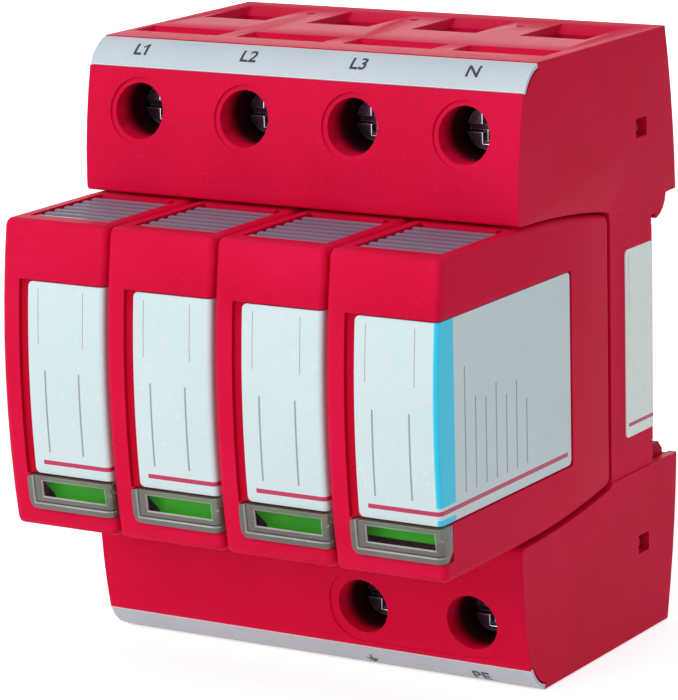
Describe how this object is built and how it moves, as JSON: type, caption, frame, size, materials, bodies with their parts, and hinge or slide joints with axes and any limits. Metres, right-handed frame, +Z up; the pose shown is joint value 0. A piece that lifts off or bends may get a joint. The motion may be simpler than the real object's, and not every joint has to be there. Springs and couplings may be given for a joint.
{
  "type": "din rail surge arrester",
  "caption": "Multi-pole surge protective device for a 35 mm rail: a red base with screw terminals and plug-in modules with status windows.",
  "frame": {"origin": "on the ground, under the middle of the part's bounding box", "axes": "+X along the rail to the part's right seen from the front, +Y back to the rail, +Z up"},
  "size_m": [0.072, 0.0713, 0.09],
  "materials": {
    "red_shell": "moulded red plastic with a fine grain",
    "dark_red_shell": "darker red moulded plastic",
    "strip_grey": "light grey marking strip, satin",
    "button_grey": "grey ribbed plastic",
    "clear_window": "clear moulded plastic",
    "flag_green": "bright green indicator",
    "screw_steel": "plated steel screw",
    "clamp_steel": "plated steel clamp",
    "tinned_copper": "tinned copper alloy contact",
    "spring_steel": "spring wire",
    "element_blue": "potted block, dull blue",
    "ceramic_white": "white ceramic body"
  },
  "bodies": {
    "base": {"base_housing": "red_shell", "rear_cover": "dark_red_shell", "upper_marking_strip": "strip_grey", "lower_marking_strip": "strip_grey", "phase_bar_1": "tinned_copper", "phase_bar_2": "tinned_copper", "phase_bar_3": "tinned_copper", "neutral_bar": "tinned_copper", "earth_bar": "tinned_copper"},
    "foot_left": {"rail_foot_left": "dark_red_shell", "foot_spring_left": "spring_steel"},
    "foot_right": {"rail_foot_right": "dark_red_shell", "foot_spring_right": "spring_steel"},
    "module_1": {"module_1_cap": "red_shell", "module_1_plate": "dark_red_shell", "module_1_window": "clear_window", "module_1_varistor": "element_blue", "module_1_upper_blade": "tinned_copper", "module_1_lower_blade": "tinned_copper"},
    "button_1": {"module_1_button": "button_grey"},
    "flag_1": {"module_1_flag": "flag_green"},
    "module_2": {"module_2_cap": "red_shell", "module_2_plate": "dark_red_shell", "module_2_window": "clear_window", "module_2_varistor": "element_blue", "module_2_upper_blade": "tinned_copper", "module_2_lower_blade": "tinned_copper"},
    "button_2": {"module_2_button": "button_grey"},
    "flag_2": {"module_2_flag": "flag_green"},
    "module_3": {"module_3_cap": "red_shell", "module_3_plate": "dark_red_shell", "module_3_window": "clear_window", "module_3_varistor": "element_blue", "module_3_upper_blade": "tinned_copper", "module_3_lower_blade": "tinned_copper"},
    "button_3": {"module_3_button": "button_grey"},
    "flag_3": {"module_3_flag": "flag_green"},
    "module_4": {"module_4_cap": "red_shell", "module_4_plate": "dark_red_shell", "module_4_window": "clear_window", "module_4_spark_gap": "ceramic_white", "module_4_upper_blade": "tinned_copper", "module_4_lower_blade": "tinned_copper"},
    "button_4": {"module_4_button": "button_grey"},
    "flag_4": {"module_4_flag": "flag_green"},
    "upper_screw_1": {"upper_screw_1": "screw_steel"},
    "upper_clamp_1": {"upper_clamp_1": "clamp_steel"},
    "upper_screw_2": {"upper_screw_2": "screw_steel"},
    "upper_clamp_2": {"upper_clamp_2": "clamp_steel"},
    "upper_screw_3": {"upper_screw_3": "screw_steel"},
    "upper_clamp_3": {"upper_clamp_3": "clamp_steel"},
    "upper_screw_4": {"upper_screw_4": "screw_steel"},
    "upper_clamp_4": {"upper_clamp_4": "clamp_steel"},
    "lower_screw_3": {"lower_screw_3": "screw_steel"},
    "lower_clamp_3": {"lower_clamp_3": "clamp_steel"},
    "lower_screw_4": {"lower_screw_4": "screw_steel"},
    "lower_clamp_4": {"lower_clamp_4": "clamp_steel"}
  },
  "joints": [
    {"name": "foot_left_slide", "type": "slide", "parent": "base", "child": "foot_left", "axis": [0, 0, -1], "range_m": [0, 0.003], "stiffness_N_per_m": 1500, "springref_m": -0.002, "deforming": ["foot_spring_left"]},
    {"name": "foot_right_slide", "type": "slide", "parent": "base", "child": "foot_right", "axis": [0, 0, -1], "range_m": [0, 0.003], "stiffness_N_per_m": 1500, "springref_m": -0.002, "deforming": ["foot_spring_right"]},
    {"name": "module_1_slide", "type": "slide", "parent": "base", "child": "module_1", "axis": [0, -1, 0], "range_m": [0, 0.028]},
    {"name": "button_1_press", "type": "slide", "parent": "module_1", "child": "button_1", "axis": [0, 0, -1], "range_m": [0, 0.0012], "stiffness_N_per_m": 800, "springref_m": -0.001},
    {"name": "flag_1_lift", "type": "slide", "parent": "module_1", "child": "flag_1", "axis": [0, 0, 1], "range_m": [0, 0.0046]},
    {"name": "module_2_slide", "type": "slide", "parent": "base", "child": "module_2", "axis": [0, -1, 0], "range_m": [0, 0.028]},
    {"name": "button_2_press", "type": "slide", "parent": "module_2", "child": "button_2", "axis": [0, 0, -1], "range_m": [0, 0.0012], "stiffness_N_per_m": 800, "springref_m": -0.001},
    {"name": "flag_2_lift", "type": "slide", "parent": "module_2", "child": "flag_2", "axis": [0, 0, 1], "range_m": [0, 0.0046]},
    {"name": "module_3_slide", "type": "slide", "parent": "base", "child": "module_3", "axis": [0, -1, 0], "range_m": [0, 0.028]},
    {"name": "button_3_press", "type": "slide", "parent": "module_3", "child": "button_3", "axis": [0, 0, -1], "range_m": [0, 0.0012], "stiffness_N_per_m": 800, "springref_m": -0.001},
    {"name": "flag_3_lift", "type": "slide", "parent": "module_3", "child": "flag_3", "axis": [0, 0, 1], "range_m": [0, 0.0046]},
    {"name": "module_4_slide", "type": "slide", "parent": "base", "child": "module_4", "axis": [0, -1, 0], "range_m": [0, 0.028]},
    {"name": "button_4_press", "type": "slide", "parent": "module_4", "child": "button_4", "axis": [0, 0, -1], "range_m": [0, 0.0012], "stiffness_N_per_m": 800, "springref_m": -0.001},
    {"name": "flag_4_lift", "type": "slide", "parent": "module_4", "child": "flag_4", "axis": [0, 0, 1], "range_m": [0, 0.0046]},
    {"name": "upper_screw_1_turn", "type": "hinge", "parent": "base", "child": "upper_screw_1", "pos_m": [-0.027, -0.004, 0.08], "axis": [0, 1, 0], "range_deg": [0, 2250.01]},
    {"name": "upper_clamp_1_draw", "type": "slide", "parent": "base", "child": "upper_clamp_1", "axis": [0, -1, 0], "range_m": [0, 0.005]},
    {"name": "upper_screw_2_turn", "type": "hinge", "parent": "base", "child": "upper_screw_2", "pos_m": [-0.009, -0.004, 0.08], "axis": [0, 1, 0], "range_deg": [0, 2250.01]},
    {"name": "upper_clamp_2_draw", "type": "slide", "parent": "base", "child": "upper_clamp_2", "axis": [0, -1, 0], "range_m": [0, 0.005]},
    {"name": "upper_screw_3_turn", "type": "hinge", "parent": "base", "child": "upper_screw_3", "pos_m": [0.009, -0.004, 0.08], "axis": [0, 1, 0], "range_deg": [0, 2250.01]},
    {"name": "upper_clamp_3_draw", "type": "slide", "parent": "base", "child": "upper_clamp_3", "axis": [0, -1, 0], "range_m": [0, 0.005]},
    {"name": "upper_screw_4_turn", "type": "hinge", "parent": "base", "child": "upper_screw_4", "pos_m": [0.027, -0.004, 0.08], "axis": [0, 1, 0], "range_deg": [0, 2250.01]},
    {"name": "upper_clamp_4_draw", "type": "slide", "parent": "base", "child": "upper_clamp_4", "axis": [0, -1, 0], "range_m": [0, 0.005]},
    {"name": "lower_screw_3_turn", "type": "hinge", "parent": "base", "child": "lower_screw_3", "pos_m": [0.009, -0.004, 0.01], "axis": [0, 1, 0], "range_deg": [0, 2250.01]},
    {"name": "lower_clamp_3_draw", "type": "slide", "parent": "base", "child": "lower_clamp_3", "axis": [0, -1, 0], "range_m": [0, 0.005]},
    {"name": "lower_screw_4_turn", "type": "hinge", "parent": "base", "child": "lower_screw_4", "pos_m": [0.027, -0.004, 0.01], "axis": [0, 1, 0], "range_deg": [0, 2250.01]},
    {"name": "lower_clamp_4_draw", "type": "slide", "parent": "base", "child": "lower_clamp_4", "axis": [0, -1, 0], "range_m": [0, 0.005]}
  ],
  "couplings": [
    {"joint": "upper_screw_1_turn", "follows": "upper_clamp_1_draw", "rad_per_m": 7854},
    {"joint": "upper_screw_2_turn", "follows": "upper_clamp_2_draw", "rad_per_m": 7854},
    {"joint": "upper_screw_3_turn", "follows": "upper_clamp_3_draw", "rad_per_m": 7854},
    {"joint": "upper_screw_4_turn", "follows": "upper_clamp_4_draw", "rad_per_m": 7854},
    {"joint": "lower_screw_3_turn", "follows": "lower_clamp_3_draw", "rad_per_m": 7854},
    {"joint": "lower_screw_4_turn", "follows": "lower_clamp_4_draw", "rad_per_m": 7854}
  ]
}
